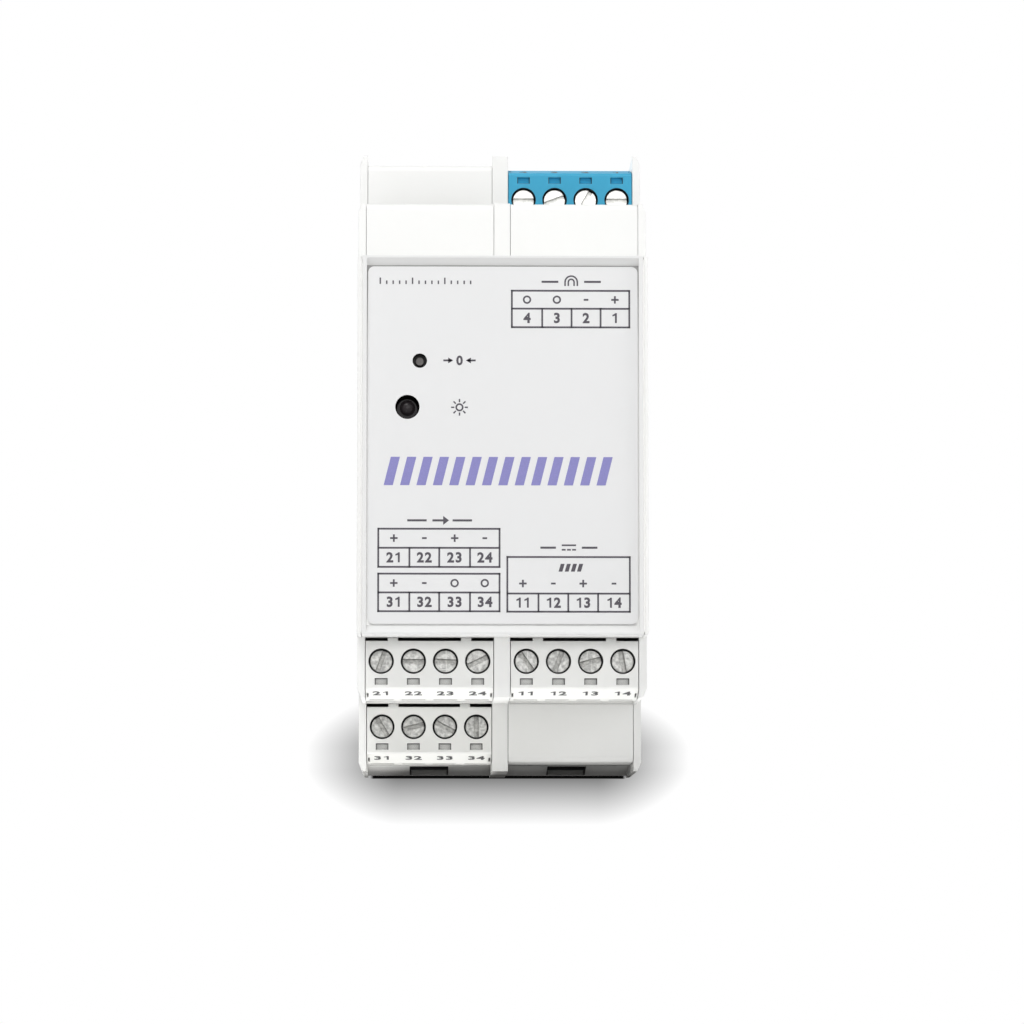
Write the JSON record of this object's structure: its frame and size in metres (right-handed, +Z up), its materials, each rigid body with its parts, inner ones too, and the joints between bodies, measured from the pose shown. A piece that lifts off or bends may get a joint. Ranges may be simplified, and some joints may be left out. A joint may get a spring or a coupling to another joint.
{
  "type": "rail-mounted flow transmitter module",
  "caption": "Rail-mounted transmitter for a coriolis flow meter: stepped plastic housing, labelled front cover, plug-in screw terminals, blank covers and a sprung rail catch",
  "frame": {"origin": "middle of the face at the back that bears on the mounting rail", "axes": "+X across the width, the front looks along -Y, +Y points to the rail, +Z up; the module stands upright on the lips of its lower end"},
  "size_m": [0.045, 0.112, 0.099],
  "materials": {
    "housing_grey": "fine spark-eroded moulded polyamide",
    "cover_grey": "smooth moulded polyamide",
    "label": "printed satin film on a thin plate",
    "plug_grey": "moulded polyamide",
    "plug_blue": "moulded polyamide, blue for the sensor circuit",
    "screw_steel": "zinc-plated steel",
    "clamp_steel": "nickel-plated steel",
    "contact_metal": "tin-plated copper alloy",
    "spring_steel": "bright spring wire",
    "board_green": "solder-masked glass-fibre laminate",
    "black_part": "moulded black plastic",
    "catch_grey": "glass-filled polyamide",
    "button_grey": "moulded grey plastic",
    "lens_black": "dark tinted lens"
  },
  "bodies": {
    "root": {"base_housing": "housing_grey", "front_cover": "housing_grey", "label_plate": "label", "front_board": "board_green", "main_board": "board_green", "power_board": "board_green", "zero_switch": "black_part", "status_led": "lens_black", "header_pins": "contact_metal", "catch_spring": "spring_steel", "blank_cover_top_left_near": "cover_grey", "blank_cover_top_left_far": "cover_grey", "blank_cover_top_right_near": "cover_grey", "blank_cover_bottom_right_far": "cover_grey", "header_11": "plug_grey", "header_21": "plug_grey", "header_31": "plug_grey", "header_1": "plug_blue"},
    "zero_button": {"zero_button": "button_grey"},
    "rail_catch": {"rail_catch": "catch_grey"},
    "plug_11": {"plug_shell_11": "plug_grey", "plug_contacts_11": "contact_metal"},
    "screw_11": {"screw_11": "screw_steel"},
    "clamp_11": {"clamp_11": "clamp_steel"},
    "screw_12": {"screw_12": "screw_steel"},
    "clamp_12": {"clamp_12": "clamp_steel"},
    "screw_13": {"screw_13": "screw_steel"},
    "clamp_13": {"clamp_13": "clamp_steel"},
    "screw_14": {"screw_14": "screw_steel"},
    "clamp_14": {"clamp_14": "clamp_steel"},
    "plug_21": {"plug_shell_21": "plug_grey", "plug_contacts_21": "contact_metal"},
    "screw_21": {"screw_21": "screw_steel"},
    "clamp_21": {"clamp_21": "clamp_steel"},
    "screw_22": {"screw_22": "screw_steel"},
    "clamp_22": {"clamp_22": "clamp_steel"},
    "screw_23": {"screw_23": "screw_steel"},
    "clamp_23": {"clamp_23": "clamp_steel"},
    "screw_24": {"screw_24": "screw_steel"},
    "clamp_24": {"clamp_24": "clamp_steel"},
    "plug_31": {"plug_shell_31": "plug_grey", "plug_contacts_31": "contact_metal"},
    "screw_31": {"screw_31": "screw_steel"},
    "clamp_31": {"clamp_31": "clamp_steel"},
    "screw_32": {"screw_32": "screw_steel"},
    "clamp_32": {"clamp_32": "clamp_steel"},
    "screw_33": {"screw_33": "screw_steel"},
    "clamp_33": {"clamp_33": "clamp_steel"},
    "screw_34": {"screw_34": "screw_steel"},
    "clamp_34": {"clamp_34": "clamp_steel"},
    "plug_1": {"plug_shell_1": "plug_blue", "plug_contacts_1": "contact_metal"},
    "screw_1": {"screw_1": "screw_steel"},
    "clamp_1": {"clamp_1": "clamp_steel"},
    "screw_2": {"screw_2": "screw_steel"},
    "clamp_2": {"clamp_2": "clamp_steel"},
    "screw_3": {"screw_3": "screw_steel"},
    "clamp_3": {"clamp_3": "clamp_steel"},
    "screw_4": {"screw_4": "screw_steel"},
    "clamp_4": {"clamp_4": "clamp_steel"}
  },
  "joints": [
    {"name": "catch_slide", "type": "slide", "parent": "root", "child": "rail_catch", "axis": [0, 0, -1], "range_m": [0, 0.0028], "stiffness_N_per_m": 900, "springref_m": -0.0015, "deforming": ["catch_spring"]},
    {"name": "zero_press", "type": "slide", "parent": "root", "child": "zero_button", "axis": [0, 1, 0], "range_m": [0, 0.0003], "stiffness_N_per_m": 3000, "springref_m": -0.0003},
    {"name": "plug_11_pull", "type": "slide", "parent": "root", "child": "plug_11", "axis": [0, -1, 0], "range_m": [0, 0.012]},
    {"name": "screw_11_turn", "type": "hinge", "parent": "plug_11", "child": "screw_11", "pos_m": [0.00378, -0.09755, -0.0331], "axis": [0, 1, 0], "range_deg": [0, 1800]},
    {"name": "clamp_11_rise", "type": "slide", "parent": "plug_11", "child": "clamp_11", "axis": [0, -1, 0], "range_m": [0, 0.0025]},
    {"name": "screw_12_turn", "type": "hinge", "parent": "plug_11", "child": "screw_12", "pos_m": [0.00877, -0.09755, -0.0331], "axis": [0, 1, 0], "range_deg": [0, 1800]},
    {"name": "clamp_12_rise", "type": "slide", "parent": "plug_11", "child": "clamp_12", "axis": [0, -1, 0], "range_m": [0, 0.0025]},
    {"name": "screw_13_turn", "type": "hinge", "parent": "plug_11", "child": "screw_13", "pos_m": [0.01378, -0.09755, -0.0331], "axis": [0, 1, 0], "range_deg": [0, 1800]},
    {"name": "clamp_13_rise", "type": "slide", "parent": "plug_11", "child": "clamp_13", "axis": [0, -1, 0], "range_m": [0, 0.0025]},
    {"name": "screw_14_turn", "type": "hinge", "parent": "plug_11", "child": "screw_14", "pos_m": [0.01878, -0.09755, -0.0331], "axis": [0, 1, 0], "range_deg": [0, 1800]},
    {"name": "clamp_14_rise", "type": "slide", "parent": "plug_11", "child": "clamp_14", "axis": [0, -1, 0], "range_m": [0, 0.0025]},
    {"name": "plug_21_pull", "type": "slide", "parent": "root", "child": "plug_21", "axis": [0, -1, 0], "range_m": [0, 0.012]},
    {"name": "screw_21_turn", "type": "hinge", "parent": "plug_21", "child": "screw_21", "pos_m": [-0.01878, -0.09755, -0.0331], "axis": [0, 1, 0], "range_deg": [0, 1800]},
    {"name": "clamp_21_rise", "type": "slide", "parent": "plug_21", "child": "clamp_21", "axis": [0, -1, 0], "range_m": [0, 0.0025]},
    {"name": "screw_22_turn", "type": "hinge", "parent": "plug_21", "child": "screw_22", "pos_m": [-0.01378, -0.09755, -0.0331], "axis": [0, 1, 0], "range_deg": [0, 1800]},
    {"name": "clamp_22_rise", "type": "slide", "parent": "plug_21", "child": "clamp_22", "axis": [0, -1, 0], "range_m": [0, 0.0025]},
    {"name": "screw_23_turn", "type": "hinge", "parent": "plug_21", "child": "screw_23", "pos_m": [-0.00877, -0.09755, -0.0331], "axis": [0, 1, 0], "range_deg": [0, 1800]},
    {"name": "clamp_23_rise", "type": "slide", "parent": "plug_21", "child": "clamp_23", "axis": [0, -1, 0], "range_m": [0, 0.0025]},
    {"name": "screw_24_turn", "type": "hinge", "parent": "plug_21", "child": "screw_24", "pos_m": [-0.00378, -0.09755, -0.0331], "axis": [0, 1, 0], "range_deg": [0, 1800]},
    {"name": "clamp_24_rise", "type": "slide", "parent": "plug_21", "child": "clamp_24", "axis": [0, -1, 0], "range_m": [0, 0.0025]},
    {"name": "plug_31_pull", "type": "slide", "parent": "root", "child": "plug_31", "axis": [0, -1, 0], "range_m": [0, 0.012]},
    {"name": "screw_31_turn", "type": "hinge", "parent": "plug_31", "child": "screw_31", "pos_m": [-0.01878, -0.07725, -0.0424], "axis": [0, 1, 0], "range_deg": [0, 1800]},
    {"name": "clamp_31_rise", "type": "slide", "parent": "plug_31", "child": "clamp_31", "axis": [0, -1, 0], "range_m": [0, 0.0025]},
    {"name": "screw_32_turn", "type": "hinge", "parent": "plug_31", "child": "screw_32", "pos_m": [-0.01378, -0.07725, -0.0424], "axis": [0, 1, 0], "range_deg": [0, 1800]},
    {"name": "clamp_32_rise", "type": "slide", "parent": "plug_31", "child": "clamp_32", "axis": [0, -1, 0], "range_m": [0, 0.0025]},
    {"name": "screw_33_turn", "type": "hinge", "parent": "plug_31", "child": "screw_33", "pos_m": [-0.00877, -0.07725, -0.0424], "axis": [0, 1, 0], "range_deg": [0, 1800]},
    {"name": "clamp_33_rise", "type": "slide", "parent": "plug_31", "child": "clamp_33", "axis": [0, -1, 0], "range_m": [0, 0.0025]},
    {"name": "screw_34_turn", "type": "hinge", "parent": "plug_31", "child": "screw_34", "pos_m": [-0.00378, -0.07725, -0.0424], "axis": [0, 1, 0], "range_deg": [0, 1800]},
    {"name": "clamp_34_rise", "type": "slide", "parent": "plug_31", "child": "clamp_34", "axis": [0, -1, 0], "range_m": [0, 0.0025]},
    {"name": "plug_1_pull", "type": "slide", "parent": "root", "child": "plug_1", "axis": [0, -1, 0], "range_m": [0, 0.012]},
    {"name": "screw_1_turn", "type": "hinge", "parent": "plug_1", "child": "screw_1", "pos_m": [0.01878, -0.07725, 0.0424], "axis": [0, 1, 0], "range_deg": [0, 1800]},
    {"name": "clamp_1_rise", "type": "slide", "parent": "plug_1", "child": "clamp_1", "axis": [0, -1, 0], "range_m": [0, 0.0025]},
    {"name": "screw_2_turn", "type": "hinge", "parent": "plug_1", "child": "screw_2", "pos_m": [0.01378, -0.07725, 0.0424], "axis": [0, 1, 0], "range_deg": [0, 1800]},
    {"name": "clamp_2_rise", "type": "slide", "parent": "plug_1", "child": "clamp_2", "axis": [0, -1, 0], "range_m": [0, 0.0025]},
    {"name": "screw_3_turn", "type": "hinge", "parent": "plug_1", "child": "screw_3", "pos_m": [0.00877, -0.07725, 0.0424], "axis": [0, 1, 0], "range_deg": [0, 1800]},
    {"name": "clamp_3_rise", "type": "slide", "parent": "plug_1", "child": "clamp_3", "axis": [0, -1, 0], "range_m": [0, 0.0025]},
    {"name": "screw_4_turn", "type": "hinge", "parent": "plug_1", "child": "screw_4", "pos_m": [0.00378, -0.07725, 0.0424], "axis": [0, 1, 0], "range_deg": [0, 1800]},
    {"name": "clamp_4_rise", "type": "slide", "parent": "plug_1", "child": "clamp_4", "axis": [0, -1, 0], "range_m": [0, 0.0025]}
  ],
  "couplings": [
    {"joint": "screw_11_turn", "follows": "clamp_11_rise", "rad_per_m": 12566},
    {"joint": "screw_12_turn", "follows": "clamp_12_rise", "rad_per_m": 12566},
    {"joint": "screw_13_turn", "follows": "clamp_13_rise", "rad_per_m": 12566},
    {"joint": "screw_14_turn", "follows": "clamp_14_rise", "rad_per_m": 12566},
    {"joint": "screw_21_turn", "follows": "clamp_21_rise", "rad_per_m": 12566},
    {"joint": "screw_22_turn", "follows": "clamp_22_rise", "rad_per_m": 12566},
    {"joint": "screw_23_turn", "follows": "clamp_23_rise", "rad_per_m": 12566},
    {"joint": "screw_24_turn", "follows": "clamp_24_rise", "rad_per_m": 12566},
    {"joint": "screw_31_turn", "follows": "clamp_31_rise", "rad_per_m": 12566},
    {"joint": "screw_32_turn", "follows": "clamp_32_rise", "rad_per_m": 12566},
    {"joint": "screw_33_turn", "follows": "clamp_33_rise", "rad_per_m": 12566},
    {"joint": "screw_34_turn", "follows": "clamp_34_rise", "rad_per_m": 12566},
    {"joint": "screw_1_turn", "follows": "clamp_1_rise", "rad_per_m": 12566},
    {"joint": "screw_2_turn", "follows": "clamp_2_rise", "rad_per_m": 12566},
    {"joint": "screw_3_turn", "follows": "clamp_3_rise", "rad_per_m": 12566},
    {"joint": "screw_4_turn", "follows": "clamp_4_rise", "rad_per_m": 12566}
  ]
}
